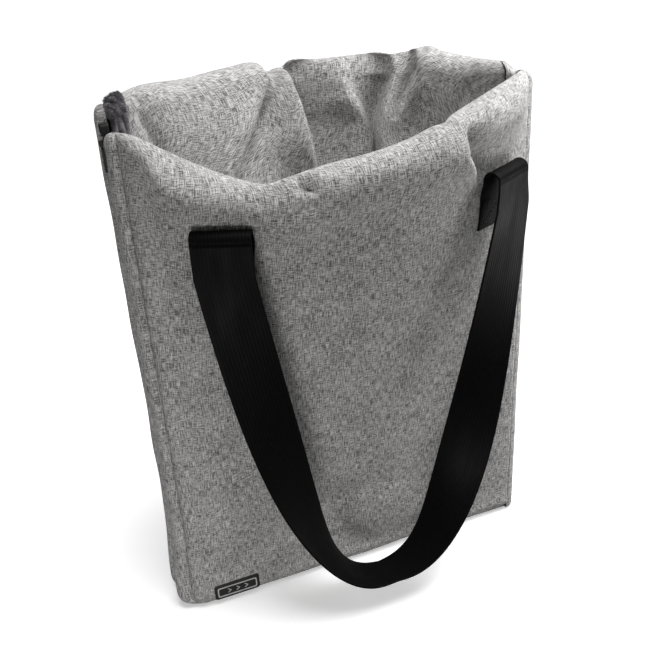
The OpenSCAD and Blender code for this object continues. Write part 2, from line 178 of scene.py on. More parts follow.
def mirrored(points, other_side):
    """Points mirrored in the zip's plane for the other side of the bag."""
    return points * np.array([1, -1, 1]) if other_side else points


def dress(obj, body, stands_for=()):
    """Says which body a piece rides on and hides the nodes it replaces."""
    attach(obj, body)
    if stands_for:
        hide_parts(*stands_for)


def solidify(obj, thickness, offset=-1):
    """Gives a surface its thickness and keeps the thickened mesh."""
    modifier = obj.modifiers.new("thickness", "SOLIDIFY")
    modifier.thickness = thickness
    modifier.offset = offset
    depsgraph = bpy.context.evaluated_depsgraph_get()
    mesh = bpy.data.meshes.new_from_object(obj.evaluated_get(depsgraph))
    old = obj.data
    obj.modifiers.clear()
    obj.data = mesh
    bpy.data.meshes.remove(old)


def evened(field, times=60):
    """A grid of values smoothed along both ways, with its trend at the edges kept."""
    for _ in range(times):
        for _ in range(2):
            ends = (2 * field[:1] - field[1:2], 2 * field[-1:] - field[-2:-1])
            padded = np.concatenate([ends[0], field, ends[1]])
            field = ((padded[:-2] + 2 * padded[1:-1] + padded[2:]) / 4).T
    return field


def surface_uv(grid):
    """Cloth places of a grid, measured along its rows and its columns and evened out over folds."""
    across = np.zeros(grid.shape[:2])
    up = np.zeros(grid.shape[:2])
    across[1:] = np.cumsum(np.linalg.norm(np.diff(grid, axis=0), axis=2), 0)
    up[:, 1:] = np.cumsum(np.linalg.norm(np.diff(grid, axis=1), axis=2), 1)
    middle = grid.shape[0] // 2
    return np.stack([evened(across - across[middle:middle + 1]), evened(up)], 2)


# ---------- materials ----------

class Shader:
    """A short way to wire a procedural material."""

    def __init__(self, name):
        self.material = bpy.data.materials.new(name)
        self.material.use_nodes = True
        self.nodes = self.material.node_tree.nodes
        self.links = self.material.node_tree.links
        self.bsdf = self.nodes["Principled BSDF"]

    def add(self, kind, inputs=None, **settings):
        node = self.nodes.new(kind)
        for key, value in settings.items():
            setattr(node, key, value)
        for key, value in (inputs or {}).items():
            self.feed(node, key, value)
        return node

    def feed(self, node, key, value):
        if isinstance(value, bpy.types.NodeSocket):
            self.links.new(value, node.inputs[key])
        else:
            node.inputs[key].default_value = value

    def place(self, scale, turn=0.0, source="uv"):
        """Texture place, scaled per axis and turned about its own Z."""
        if source == "uv":
            out = self.add("ShaderNodeUVMap", uv_map="cloth").outputs["UV"]
        else:
            out = self.add("ShaderNodeTexCoord").outputs["Object"]
        mapping = self.add("ShaderNodeMapping", {"Vector": out, "Scale": scale, "Rotation": (0, 0, turn)})
        return mapping.outputs["Vector"]

    def noise(self, place, detail=2.0, roughness=0.5):
        inputs = {"Vector": place, "Scale": 1.0, "Detail": detail, "Roughness": roughness}
        return self.add("ShaderNodeTexNoise", inputs).outputs["Fac"]

    def wave(self, scale, direction, turn=0.0, distortion=0.0):
        """Even threads across one way of the cloth."""
        inputs = {"Vector": self.place((1, 1, 1), turn), "Scale": scale, "Distortion": distortion}
        return self.add("ShaderNodeTexWave", inputs, bands_direction=direction).outputs["Fac"]

    def math(self, operation, a, b):
        return self.add("ShaderNodeMath", {0: a, 1: b}, operation=operation).outputs[0]

    def total(self, *parts):
        """Sum of (value, weight) pairs."""
        out = 0.0
        for value, weight in parts:
            out = self.math("ADD", out, self.math("MULTIPLY", value, weight))
        return out

    def ramp(self, value, stops):
        node = self.add("ShaderNodeValToRGB", {"Fac": value})
        elements = node.color_ramp.elements
        while len(elements) < len(stops):
            elements.new(0.5)
        for element, (position, color) in zip(elements, stops):
            element.position = position
            element.color = (*color, 1.0)
        return node.outputs["Color"]

    def stretch(self, value, low, high):
        """Value from low to high mapped to 0 to 1."""
        return self.add("ShaderNodeMapRange", {"Value": value, "From Min": low, "From Max": high}).outputs[0]

    def bump(self, height, distance, strength):
        inputs = {"Height": height, "Distance": distance, "Strength": strength}
        return self.add("ShaderNodeBump", inputs).outputs["Normal"]

    def set(self, **inputs):
        for key, value in inputs.items():
            self.feed(self.bsdf, key.replace("_", " "), value)
        return self.material


def grey(value, warm=0.0):
    return (value * (1 + warm), value, value * (1 - warm))


def melange_cloth(name, dark, light, warm=0.02):
    """Heather plain weave: streaks along both thread directions, slubs and a fine basket of threads."""
    s = Shader(name)
    warp = s.noise(s.place((1400, 110, 1)), 2.0, 0.6)
    weft = s.noise(s.place((150, 1400, 1)), 2.0, 0.6)
    fine = s.noise(s.place((1300, 1300, 1), 0.8), 2.0, 0.7)
    cloudy = s.noise(s.place((28, 28, 1)), 2.0)
    slub = s.stretch(s.noise(s.place((420, 60, 1)), 1.0), 0.66, 0.80)
    slub_across = s.stretch(s.noise(s.place((60, 420, 1)), 1.0), 0.70, 0.84)
    weave = s.math("MULTIPLY", s.wave(330.0, "X"), s.wave(330.0, "Y"))
    streaks = s.total((warp, 0.5), (weft, 0.5))
    mixed = s.total((streaks, 0.80), (fine, 0.14), (cloudy, 0.06),
                    (slub, 0.07), (slub_across, 0.07), (weave, 0.05))
    middle = (dark + light) / 2
    color = s.ramp(s.stretch(mixed, 0.448, 0.580), [
        (0.0, grey(dark, warm)), (0.42, grey(middle * 0.86, warm)), (0.62, grey(middle * 1.12, warm)),
        (1.0, grey(light, warm))])
    normal = s.bump(s.total((weave, 0.5), (streaks, 1.0)), 0.00035, 0.55)
    return s.set(Base_Color=color, Roughness=s.stretch(fine, -1.5, 1.4), Normal=normal,
                 Specular_IOR_Level=0.28, Sheen_Weight=0.18, Sheen_Roughness=0.5)


def webbing_cloth(name):
    """Black ribbed webbing with a satin sheen; its ribs run along the strap."""
    s = Shader(name)
    threads = s.noise(s.place((1200, 160, 1)), 2.0)
    wear = s.noise(s.place((60, 18, 1)), 3.0)
    weave = s.total((s.wave(105.0, "X"), 0.7), (s.wave(210.0, "Y", 0.5, 0.4), 0.35))
    mixed = s.total((weave, 0.35), (threads, 0.65))
    color = s.ramp(s.stretch(mixed, 0.25, 0.75), [
        (0.0, grey(0.0008)), (0.6, grey(0.0018)), (1.0, grey(0.005))])
    return s.set(Base_Color=color, Roughness=s.stretch(wear, -0.9, 1.7), Normal=s.bump(weave, 0.0003, 0.35),
                 Specular_IOR_Level=0.06, Sheen_Weight=0.002, Sheen_Roughness=0.35)


def zip_tape_cloth(name):
    """Black ribbed tape."""
    s = Shader(name)
    ribs = s.wave(240.0, "Y")
    threads = s.noise(s.place((900, 900, 1)), 2.0)
    color = s.ramp(s.math("MULTIPLY", ribs, threads), [(0.1, grey(0.010)), (0.7, grey(0.035))])
    return s.set(Base_Color=color, Roughness=0.85, Normal=s.bump(ribs, 0.0003, 0.6), Specular_IOR_Level=0.25)


def plush_fibre(name, low, high):
    """Dark pile in two mixed greys."""
    s = Shader(name)
    spots = s.noise(s.place((230, 230, 230), source="object"), 3.0, 0.7)
    color = s.ramp(s.stretch(spots, 0.3, 0.7), [
        (0.0, (low, low * 0.95, low * 1.06)), (1.0, (high, high * 0.95, high * 1.06))])
    return s.set(Base_Color=color, Roughness=0.95, Specular_IOR_Level=0.15, Sheen_Weight=0.35,
                 Sheen_Roughness=0.6)


def moulded(name, value, rough, grain=900.0, warm=0.0):
    """Moulded rubber, nylon or painted metal with a fine grain and worn variation."""
    s = Shader(name)
    fine = s.noise(s.place((grain, grain, grain), source="object"), 3.0)
    broad = s.noise(s.place((90, 90, 90), source="object"), 2.0)
    color = s.ramp(s.total((fine, 0.5), (broad, 0.5)), [
        (0.3, grey(value * 0.75, warm)), (0.7, grey(value * 1.25, warm))])
    worn = s.stretch(broad, 0.5 - 1 / rough, 0.5 + 1.1 * (1 - rough) + 0.4)
    return s.set(Base_Color=color, Roughness=worn, Normal=s.bump(fine, 0.00012, 0.5))


def thread_fibre(name, value):
    """Twisted sewing thread."""
    s = Shader(name)
    twist = s.noise(s.place((2600, 2600, 2600), source="object"), 2.0)
    color = s.ramp(twist, [(0.3, grey(value * 0.6)), (0.7, grey(value * 1.3))])
    return s.set(Base_Color=color, Roughness=0.7, Normal=s.bump(twist, 0.0001, 0.6))


CLOTH = melange_cloth("melange_cloth", 0.07, 0.62)
LINING = melange_cloth("lining_cloth", 0.07, 0.62)
WEBBING = webbing_cloth("webbing")
TAPE = zip_tape_cloth("zip_tape")
PLUSH = plush_fibre("plush_pile", 0.022, 0.20)
COIL = moulded("zip_coil", 0.022, 0.42)
SLIDER = moulded("zip_metal", 0.02, 0.34, grain=500.0)
RUBBER = moulded("badge_rubber", 0.012, 0.55, grain=1500.0)
RELIEF = moulded("badge_relief", 0.50, 0.5, grain=1500.0, warm=0.02)
THREAD = thread_fibre("black_thread", 0.035)


# ---------- the padded walls ----------

def groove_left(z):
    """Left seam of a wall's face; it flares a little towards the base."""
    edge = -HALF_W + GROOVE_IN - 3 * MM * (1 - smoothstep(z, 0, 120 * MM))
    low = np.clip(GROOVE_IN + CORNER_R - z, 0, CORNER_R)
    return edge + CORNER_R - np.sqrt(np.clip(CORNER_R ** 2 - low ** 2, 0, None))


def lip_top(x, front):
    return curve_through(FRONT_LIP if front else BACK_LIP, x)


def end_fade(x):
    """1 across a wall and 0 at its two ends."""
    left = smoothstep(x, -HALF_W + 4 * MM, -HALF_W + 45 * MM)
    return left * (1 - smoothstep(x, WALL_END - 45 * MM, WALL_END))


def leg_seat(side):
    """Where a leg of a handle is sewn to the wall: middle of its width and height of its top."""
    leg_low, leg_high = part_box(f"front_anchor_{SIDES[side]}")
    return (leg_low.x + leg_high.x) / 2, leg_high.z


LEG_SEATS = {side: leg_seat(side) for side in SIDES}


def half_thickness(x, z, front):
    """The wall is an even pad that swells into a roll at the lip, except under the sewn webbing."""
    top = lip_top(x, front)
    swell = smoothstep(z, top - PUFF_BELOW, top - PUFF_FULL) * end_fade(x)
    for seat_x, seat_z in LEG_SEATS.values():
        away = ((x - seat_x) / (40 * MM)) ** 4 + ((z - seat_z + 20 * MM) / (52 * MM)) ** 4
        swell = swell * (1 - 0.9 * np.exp(-away))
    return HALF_T + PUFF * swell


def roll_base(x, front):
    """Height where the wall's faces end and its rolled lip begins."""
    top = lip_top(x, front)
    return top - half_thickness(x, top, front)


def wall_frame(x, z):
    """Middle of the wall, its outward direction and its upward direction, in the outward = +Y sense."""
    slope_x, slope_z = bow_slopes(x, z, 0.5 * MM)
    middle = np.stack([x, MID_Y + bow(x, z), z], -1)
    out = unit(np.stack([-slope_x * end_fade(x), np.ones_like(x), -slope_z], -1))
    up = unit(np.stack([np.zeros_like(x), slope_z, np.ones_like(x)], -1))
    return middle, out, up


def crease(x, z, points, left_w, right_w, sharp=1.3):
    """Depth of a fold along a given line of (x, z, depth) points in millimetres that runs downwards.
    left_w is its width on the zip's side and right_w on the spine's side."""
    line = np.array(points, float) * MM
    samples = np.linspace(0, len(line) - 1, 12 * len(line))
    keys = np.arange(len(line))
    path = np.stack([np.interp(samples, keys, line[:, k]) for k in range(3)], 1)
    for _ in range(6):
        path[1:-1] = (path[:-2] + 2 * path[1:-1] + path[2:]) / 4
    flat = np.stack([x.ravel(), z.ravel()], 1)
    away = np.linalg.norm(flat[:, None, :] - path[None, :, :2], axis=2)
    nearest = away.argmin(1)
    along = np.gradient(path[:, :2], axis=0)[nearest]
    offset = flat - path[nearest, :2]
    side = along[:, 0] * offset[:, 1] - along[:, 1] * offset[:, 0]
    width = np.where(side < 0, left_w, right_w) * MM
    depth = path[nearest, 2] * np.exp(-(away.min(1) / width) ** sharp)
    return depth.reshape(x.shape)


def swelling(x, z, cx, cz, rx, rz, height, turn=0.0):
    """A soft round swelling or, with a negative height, a soft dent. Millimetres and degrees."""
    c = math.cos(math.radians(turn))
    s = math.sin(math.radians(turn))
    dx = x - cx * MM
    dz = z - cz * MM
    a = (dx * c + dz * s) / (rx * MM)
    b = (dz * c - dx * s) / (rz * MM)
    return height * MM * np.exp(-(a ** 2 + b ** 2))


def ripple(x, z, size, seed):
    """Slow unevenness of hand-filled padding, a sum of a few waves."""
    total = np.zeros_like(x)
    rng = np.random.default_rng(seed)
    for _ in range(9):
        direction = rng.uniform(0, math.pi)
        phase = rng.uniform(0, 2 * math.pi)
        length = rng.uniform(0.05, 0.19)
        place = x * math.cos(direction) + z * math.sin(direction)
        total += np.sin(2 * math.pi * place / length + phase)
    return total * size / 3


def pinch(place, middle, width, depth):
    """Depth of a narrow fold at the places; its middle, width and depth are in millimetres."""
    return depth * MM * np.exp(-((place - middle * MM) / (width * MM)) ** 2)


def swellings(x, z, rows):
    """Sum of soft dents and swellings; a row holds what swelling asks for."""
    return sum(swelling(x, z, *row) for row in rows)


def folds(x, z, rows):
    """Sum of creases; a row holds 1 for a ridge or -1 for a valley, and then what crease asks for."""
    return sum(sign * crease(x, z, *rest) for sign, *rest in rows)


# Middle, half sizes, height and turn of the soft dents and swellings of the front wall
FRONT_SWELLINGS = [
    (-150, 128, 34, 9, -3.2, -48), (-128, 175, 30, 12, -1.6, -40), (-170, 350, 16, 30, -2.2, 30),
    (0, 98, 75, 13, -2.6, 3), (0, 55, 70, 22, 1.8), (150, 210, 22, 60, -2.0, 8),
    (-95, 60, 40, 12, -1.5, 12), (-58, 425, 26, 16, 4.2), (-146, 460, 44, 28, 9.0, -10)]
FRONT_FOLDS = [
    (-1, [(-64, 470, 8), (-54, 454, 14), (-46, 440, 5)], 13, 4, 1.6),
    (-1, [(60, 492, 8), (74, 470, 13), (97, 444, 12), (108, 425, 6), (114, 400, 0)], 4, 17, 1.6),
    (1, [(50, 488, 0), (64, 468, 5), (88, 440, 5), (98, 420, 0)], 14, 6, 2.0),
    (-1, [(-170, 478, 3), (-150, 455, 3), (-136, 440, 0)], 9, 9, 2.0)]


def below_lip(x, z, front):
    """0 at the lip's top, where the faces' relief has to end, and 1 a little below it."""
    return smoothstep(lip_top(x, front) - z, 2 * MM, 22 * MM)


def front_outer_relief(x, z):
    """Swelling (+) and dents (-) of the front wall's outer face."""
    r = ripple(x, z, 0.9 * MM, 3) + swellings(x, z, FRONT_SWELLINGS) + folds(x, z, FRONT_FOLDS)
    return r * below_lip(x, z, True)


def front_lip_relief(x, angle):
    """Pinches of the front lip's roll; angle goes from 0 outside over the top to pi inside."""
    r = -15 * MM * np.exp(-(np.abs(x + 46 * MM + angle * 8 * MM) / (6 * MM)) ** 1.6)
    r = r * np.exp(-((angle - 0.75) / 0.55) ** 2)
    r -= pinch(x - angle * 4 * MM, 62, 6, 2.0) * np.sin(angle)
    return r + ripple(x, angle * 20 * MM, 0.8 * MM, 11)


# Main folds of the back lining, as (x, z) lines in millimetres
FOLD_A = [(-4, 512), (-2, 497), (0, 485), (3, 468), (7, 440), (13, 400), (22, 340)]
FOLD_B = [(100, 503), (97, 492), (92, 480), (84, 459), (76, 436), (73, 405), (72, 360)]
FOLD_C = [(126, 516), (121, 500), (112, 478), (104, 462), (96, 446)]
FOLD_D = [(-19, 512), (-24, 497), (-33, 480), (-48, 456), (-68, 425), (-84, 390)]


def along(line, depths, shift=0.0):
    """A fold's line with its depths, moved sideways by shift."""
    return [(x + shift, z, d) for (x, z), d in zip(line, depths)]


BACK_INNER_FOLDS = [
    # Deep pleat left of the middle, under a full roll of cloth on its left
    (-1, along(FOLD_A, (3, 12, 21, 25, 22, 15, 5)), 3, 34, 2.2),
    (1, along(FOLD_A, (2, 9, 14, 17, 17, 12, 0), -9), 20, 6, 2.0),
    # Shallow pleat that runs down to the left
    (-1, along(FOLD_D, (9, 12, 10, 8, 5, 0)), 4, 17),
    (1, along(FOLD_D, (2, 6, 7, 6, 5, 0), -9), 17, 7, 2.0),
    # Right edge of the middle panel
    (1, [(55, 480, 3), (62, 458, 9), (66, 440, 12), (70, 412, 9), (72, 370, 3)], 20, 5, 2.0),
    # Hollow right of the middle panel and the deep fold on its right
    (-1, along(FOLD_B, (3, 12, 21, 24, 21, 15, 4)), 20, 3, 1.7),
    (1, along(FOLD_B, (1, 4, 8, 12, 12, 8, 0), 8), 6, 10, 2.0),
    # Narrow pleat up to the peak of the lip
    (-1, along(FOLD_C, (12, 18, 14, 6, 0)), 10, 3),
    (1, along(FOLD_C, (2, 6, 6, 3, 0), 6), 4, 12, 2.0),
    # Right and left corners
    (-1, [(168, 500, 3), (160, 480, 6), (150, 455, 4), (142, 430, 0)], 6, 12),
    (-1, [(-163, 508, 4), (-157, 488, 8), (-150, 466, 7), (-146, 430, 2)], 5, 8)]
BACK_INNER_SWELLINGS = [(146, 478, 20, 34, 5.0, -12), (-110, 470, 34, 40, 4.0)]
# How far the same folds lean sideways over their pleats
BACK_LEANS = [
    (1, along(FOLD_A, (0, 2, 5, 6, 6, 4, 0), -6), 16, 4, 2.0),
    (1, [(57, 474, 2), (62, 458, 5), (66, 440, 6), (70, 412, 4), (72, 370, 0)], 14, 5, 2.0),
    (-1, along(FOLD_B, (0, 1, 2, 3, 3, 2, 0), 5), 3.5, 10, 2.0),
    (-1, along(FOLD_C, (1, 3, 3, 1, 0), 5), 3.5, 9, 2.0),
    (1, along(FOLD_D, (2, 5, 4, 3, 1, 0), -6), 12, 4.5, 2.0)]


def back_inner_relief(x, z):
    """Folds of the back lining seen through the mouth; negative pushes it back into the padding."""
    top = lip_top(x, False)
    r = ripple(x, z, 1.2 * MM, 5) - PUFF * smoothstep(z, top - PUFF_BELOW, top - PUFF_FULL)
    r += folds(x, z, BACK_INNER_FOLDS) + swellings(x, z, BACK_INNER_SWELLINGS)
    # The middle panel swells at the top and falls back below a step
    step_z = 474 * MM - 0.14 * x
    ledge = smoothstep(z, step_z - 22 * MM, step_z) * (1 - smoothstep(z, 482 * MM, 506 * MM))
    r += 8 * MM * ledge * smoothstep(x, 0 * MM, 44 * MM) * (1 - smoothstep(x, 52 * MM, 66 * MM))
    return r * smoothstep(top - z, -4 * MM, 9 * MM)


def back_inner_shift(x, z):
    """Sideways lean of the folds, so that their full sides hang over the pleats."""
    return folds(x, z, BACK_LEANS) * end_fade(x)


def back_lip_relief(x, angle):
    """Pinches of the back lip's roll, where the lining's folds run over it."""
    inner = smoothstep(angle, 0.7, 2.6)
    r = ripple(x, angle * 20 * MM, 0.8 * MM, 17)
    r -= (pinch(x, -2, 5, 7) + pinch(x, -19, 5, 6) + pinch(x, 97, 6, 2.5)) * inner
    return r - pinch(x, 125, 4, 6) * smoothstep(angle, 1.0, 2.4)


def back_outer_relief(x, z):
    """Relief of the back wall's outer face, made up since the photo doesn't show it."""
    rows = [(10, 450, 32, 60, 7.0), (82, 450, 22, 50, 6.0), (-120, 150, 40, 12, -2.5, 35),
            (90, 300, 22, 60, -2.2, -10)]
    creases = [(-1, [(2, 505, 5), (4, 480, 5), (0, 450, 2), (-4, 420, 0)], 8, 8),
               (-1, [(90, 500, 3), (84, 470, 4), (80, 440, 0)], 8, 10)]
    r = ripple(x, z, 1.0 * MM, 23) + swellings(x, z, rows) + folds(x, z, creases)
    return r * below_lip(x, z, False)


def front_inner_relief(x, z):
    """Folds of the front lining, made up below the lip."""
    creases = [(-1, [(-60, 455, 4), (-66, 430, 6), (-60, 395, 4), (-52, 350, 0)], 7, 9),
               (-1, [(70, 480, 4), (82, 450, 7), (76, 410, 5), (70, 360, 0)], 8, 7)]
    r = ripple(x, z, 1.0 * MM, 29) + folds(x, z, creases)
    return r * below_lip(x, z, True)


def seam_dip(x, z):
    """The face cloth rolls into its seams at the left and at the base, with a soft swell beside them."""
    nearest = np.minimum(x - groove_left(z), z - GROOVE_IN)
    return pinch(nearest, 9, 7, 1.2) - pinch(nearest, 0, 3, 5.2)


def outer_relief(x, z, front):
    return (front_outer_relief if front else back_outer_relief)(x, z) * end_fade(x)


def inner_relief(x, z, front):
    return (front_inner_relief if front else back_inner_relief)(x, z) * end_fade(x)


def outer_point(x, z, front):
    """Place on a wall's outer cloth; both walls are made with +Y outwards."""
    middle, out, _ = wall_frame(x, z)
    reach = half_thickness(x, z, front) + (outer_relief(x, z, front) + seam_dip(x, z))
    return middle + out * reach[..., None]


def face_y(x, z, front):
    """Depth of a wall's outer cloth at a place on it, found by moving the place that lands there."""
    u, w = x, z
    for _ in range(5):
        landed = outer_point(u, w, front)
        u, w = u + x - landed[..., 0], w + z - landed[..., 2]
    return outer_point(u, w, front)[..., 1]


def inner_point(x, z, front):
    """Place on a wall's cloth inside the bag."""
    middle, out, _ = wall_frame(x, z)
    reach = half_thickness(x, z, front) + inner_relief(x, z, front)
    point = middle - out * reach[..., None]
    if not front:
        point[..., 0] += back_inner_shift(x, z)
    return point


def lip_point(x, angle, front):
    """Place on the rolled lip; angle goes from 0 outside over the top to pi inside."""
    base = roll_base(x, front)
    middle, out, up = wall_frame(x, base)
    relief = (front_lip_relief if front else back_lip_relief)(x, angle) * end_fade(x)
    r = half_thickness(x, base, front) + relief * np.sin(angle)
    outside = outer_relief(x, base, front) * np.cos(angle) ** 2
    side = np.where(angle < math.pi / 2, outside, inner_relief(x, base, front))
    side = side + seam_dip(x, base) * np.clip(np.cos(angle), 0, 1)
    point = middle + out * ((r + side) * np.cos(angle))[..., None] + up * (r * np.sin(angle))[..., None]
    if not front:
        point[..., 0] += back_inner_shift(x, base) * np.clip(-np.cos(angle), 0, 1)
    return point


def wall_row(across, kind, t, front):
    """Points of one row for shares 0 to 1 across the wall; t is the row's share of its kind."""
    if kind == "outer":
        x0 = np.full_like(across, LEFT_SEAM)
        for _ in range(3):
            x = x0 + (X_END - x0) * across
            z = GROOVE_IN + (roll_base(x, front) - GROOVE_IN) * t
            x0 = groove_left(z)
        return outer_point(x0 + (X_END - x0) * across, z, front)
    x0 = groove_left(np.full_like(across, BAG_H))
    if not front:
        # Inside, the back wall's cloth leaves a margin of plush
        turned = 1 if kind == "turn" else smoothstep(t, 0.5, 0.8)
        x0 = x0 + (PLUSH_X - x0) * turned
    x = x0 + (X_END - x0) * across
    if kind == "lip":
        return lip_point(x, np.full_like(x, math.pi * t), front)
    return inner_point(x, roll_base(x, front) - LIP_TURN * t, front)


def outer_cloth(front):
    """Outer cloth of one wall: up the outside, over the lip and a hand's width down the inside."""
    across = np.linspace(0, 1, 190 if front else 290)
    rows = [("outer", t) for t in np.linspace(0, 1, 150)[:-1]]
    rows += [("lip", t) for t in np.linspace(0, 1, 34)]
    rows += [("turn", t) for t in np.linspace(0, 1, 24 if front else 60)[1:]]
    grid = np.stack([mirrored(wall_row(across, kind, t, front), front) for kind, t in rows], 1)
    return grid_object(f"{WALLS[front]}_wall_cloth", grid, surface_uv(grid), CLOTH, flip=front)


def lining_cloth(front):
    """Lining of one wall, from under the turned cloth down to the base."""
    start = LEFT_SEAM if front else PLUSH_X
    x = (start + (X_END - start) * np.linspace(0, 1, 170))[:, None] * np.ones((1, 150))
    top = roll_base(x, front) - LIP_TURN + 2 * MM
    down = np.linspace(0, 1, 150)[None, :] ** 1.15
    z = top + (GROOVE_IN - top) * down
    grid = inner_point(x, z, front)
    grid[..., 1] -= 0.4 * MM * np.exp(-((top - z) / (3 * MM)) ** 2)
    grid[..., 1] = np.maximum(grid[..., 1], LINING_NEAR)
    grid = mirrored(grid, front)
    return grid_object(f"{WALLS[front]}_lining_cloth", grid, surface_uv(grid), LINING, flip=not front)


def build_walls():
    for front, word in WALLS.items():
        cloth = outer_cloth(front)
        solidify(cloth, CLOTH_T)
        dress(cloth, f"{word}_wall", (f"{word}_shell", f"{word}_padding"))
        lining = lining_cloth(front)
        solidify(lining, CLOTH_T)
        dress(lining, f"{word}_wall", (f"{word}_lining",))


build_walls()


# ---------- side bands ----------

ARC_Z = GROOVE_IN + CORNER_R
BAND_PUFF, BAND_BASE_PUFF = 9 * MM, 4.75 * MM   # how far the band stands out at the side and at the base
FULLER_LOW, FULLER_CORNER = 2.2 * MM, 1.8 * MM  # how much fuller it is low on the side and at the corner
TAPE_COVER = 3.2 * MM                   # how far its inner edge leans over the zip's tape


def edge_stations(top_z, step=3.0 * MM):
    """Points (x, z) and outward directions down the left seam, round the corner and along the base."""
    down = np.linspace(top_z, ARC_Z, int((top_z - ARC_Z) / step))
    left = [(float(groove_left(np.array(z))), z, -1.0, 0.0) for z in down]
    corner_x = left[-1][0] + CORNER_R
    turn = np.radians(np.linspace(180, 270, 16))[1:-1]
    corner = [(corner_x + CORNER_R * math.cos(a), ARC_Z + CORNER_R * math.sin(a), math.cos(a), math.sin(a))
              for a in turn]
    base = [(x, GROOVE_IN, 0.0, -1.0) for x in np.linspace(corner_x, X_END, int((X_END - corner_x) / step))]
    return np.array(left + corner + base)


def side_band(front):
    """Puffed band from the seam at the face to the zip, with a rounded end under the lip."""
    top = float(lip_top(np.array([LEFT_SEAM]), front)[0]) - HALF_T
    x, z, mx, mz = edge_stations(top).T
    out_dir = np.stack([mx, np.zeros_like(mx), mz], 1)
    seam_out = outer_point(x, z, front)
    seam_in = inner_point(x, z, front)
    seam_in[:, 1] = np.maximum(seam_in[:, 1], GAP_Y)
    down = path_lengths(np.stack([x, z], 1))
    seam_in = seam_in + out_dir * (2.2 * MM * smoothstep(down, 0, 60 * MM))[:, None]
    puff = BAND_PUFF + FULLER_LOW * smoothstep(-z, -190 * MM, -40 * MM)
    puff = puff + FULLER_CORNER * smoothstep(-z, -80 * MM, -15 * MM)
    puff = puff + (BAND_BASE_PUFF - puff) * smoothstep(-mz, 0.35, 1.0)
    uneven = ripple(down, np.zeros_like(down), 0.5 * MM, 41 if front else 43)
    puff = puff + uneven * (1 - smoothstep(-mz, 0.2, 0.9))
    cover = TAPE_COVER * (1 - smoothstep(-z, -210 * MM, -110 * MM)) * smoothstep(down, 0, 30 * MM)
    # Rounded end: the two seams climb over the lip until they meet at its top
    climb = np.radians(np.linspace(89, 5, 16))
    cap_x = np.full_like(climb, groove_left(np.array(BAG_H)))
    cap_out = lip_point(cap_x, climb, front)
    cap_in = lip_point(cap_x, math.pi - climb, front)
    seam_out = np.concatenate([cap_out, seam_out])
    seam_in = np.concatenate([cap_in, seam_in])
    out_dir = np.concatenate([np.tile([-1.0, 0, 0], (len(climb), 1)), out_dir])
    puff = np.concatenate([BAND_PUFF * np.cos(climb) ** 0.6, puff])
    cover = np.concatenate([np.zeros(len(climb)), cover])
    phi = np.linspace(0, math.pi, 30)
    share = (1 - np.cos(phi)) / 2
    grid = seam_out[:, None] + (seam_in - seam_out)[:, None] * share[None, :, None]
    grid = grid + out_dir[:, None] * (puff[:, None] * np.sin(phi)[None] ** 0.72)[..., None]
    grid[..., 1] -= cover[:, None] * np.exp(-((phi - 2.25) / 0.5) ** 2)[None]
    grid[..., 1] += 1.3 * MM * np.exp(-((phi - 0.55) / 0.4) ** 2)[None]
    grid[..., 2] = np.maximum(grid[..., 2], 0.4 * MM)
    grid = mirrored(grid, front)
    uv = surface_uv(grid)[..., ::-1]
    return grid_object(f"{WALLS[front]}_band_cloth", grid, uv, CLOTH, flip=not front)


# ---------- spine ----------

SPINE_TOP = 492 * MM                    # the spine's cloth sags a little between the walls
SPINE_BOTTOM = GROOVE_IN + 0.5 * MM
SPINE_BLEND = 3 * MM                    # width over which the spine's cloth turns with a wall


def spine_cloth(front):
    """Half of the folded spine: outer cloth, rounded top and inner cloth, from a wall to the middle."""
    turn = np.linspace(0, math.pi / 2, 26)
    edge_x = np.array([X_END])
    depth = float(half_thickness(edge_x, lip_top(edge_x, front), front)[0])
    top = float(lip_top(edge_x, front)[0])
    z_top = top + (SPINE_TOP - top) * smoothstep(turn, 0.2, math.pi / 2)
    reach = SPINE_END - X_END
    wall_out = MID_Y + depth
    outer = np.stack([X_END + reach * np.sin(turn) ** 0.9, wall_out * np.cos(turn) ** 0.85], 1)
    inner = np.stack([X_END + SPINE_BLEND * np.sin(turn), (MID_Y - depth) * np.cos(turn)], 1)
    middle = (outer + inner) / 2
    half = (outer - inner) / 2
    roll = np.linalg.norm(half, axis=1)
    base = z_top - roll

    def ring(share, z):
        flat = middle + half * share
        return np.concatenate([flat, np.broadcast_to(z, turn.shape)[:, None]], 1)

    under = np.linspace(-math.pi / 2, 0, 7)
    bottom = [ring(math.cos(a), GROOVE_IN * (1 + math.sin(a)) + 0.5 * MM) for a in under]
    rise = [ring(1.0, SPINE_BOTTOM + (base - GROOVE_IN) * t) for t in np.linspace(0, 1, 120)[1:]]
    lip = [ring(math.cos(a), base + roll * math.sin(a)) for a in np.linspace(0, math.pi, 24)[1:]]
    fall = [ring(-1.0, base + (GROOVE_IN - base) * t) for t in np.linspace(0, 1, 60)[1:]]
    grid = np.stack(bottom + rise + lip + fall, 1)
    # Loose folds of the bent padding
    height = grid[..., 2]
    wave = np.sin(height / (31 * MM)) + 0.6 * np.sin(height / (17 * MM) + 1.3)
    grid[..., 0] += 0.5 * MM * wave * np.sin(turn)[:, None]
    grid = mirrored(grid, front)
    return grid_object(f"{WALLS[front]}_spine_cloth", grid, surface_uv(grid), CLOTH, flip=front)


def build_edges():
    for front, word in WALLS.items():
        band = side_band(front)
        solidify(band, CLOTH_T)
        dress(band, f"{word}_wall", (f"{word}_side_band",))
        spine = spine_cloth(front)
        solidify(spine, CLOTH_T)
        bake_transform(spine)
        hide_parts("spine_panel", "spine_lining")


build_edges()


# ---------- plush mat ----------

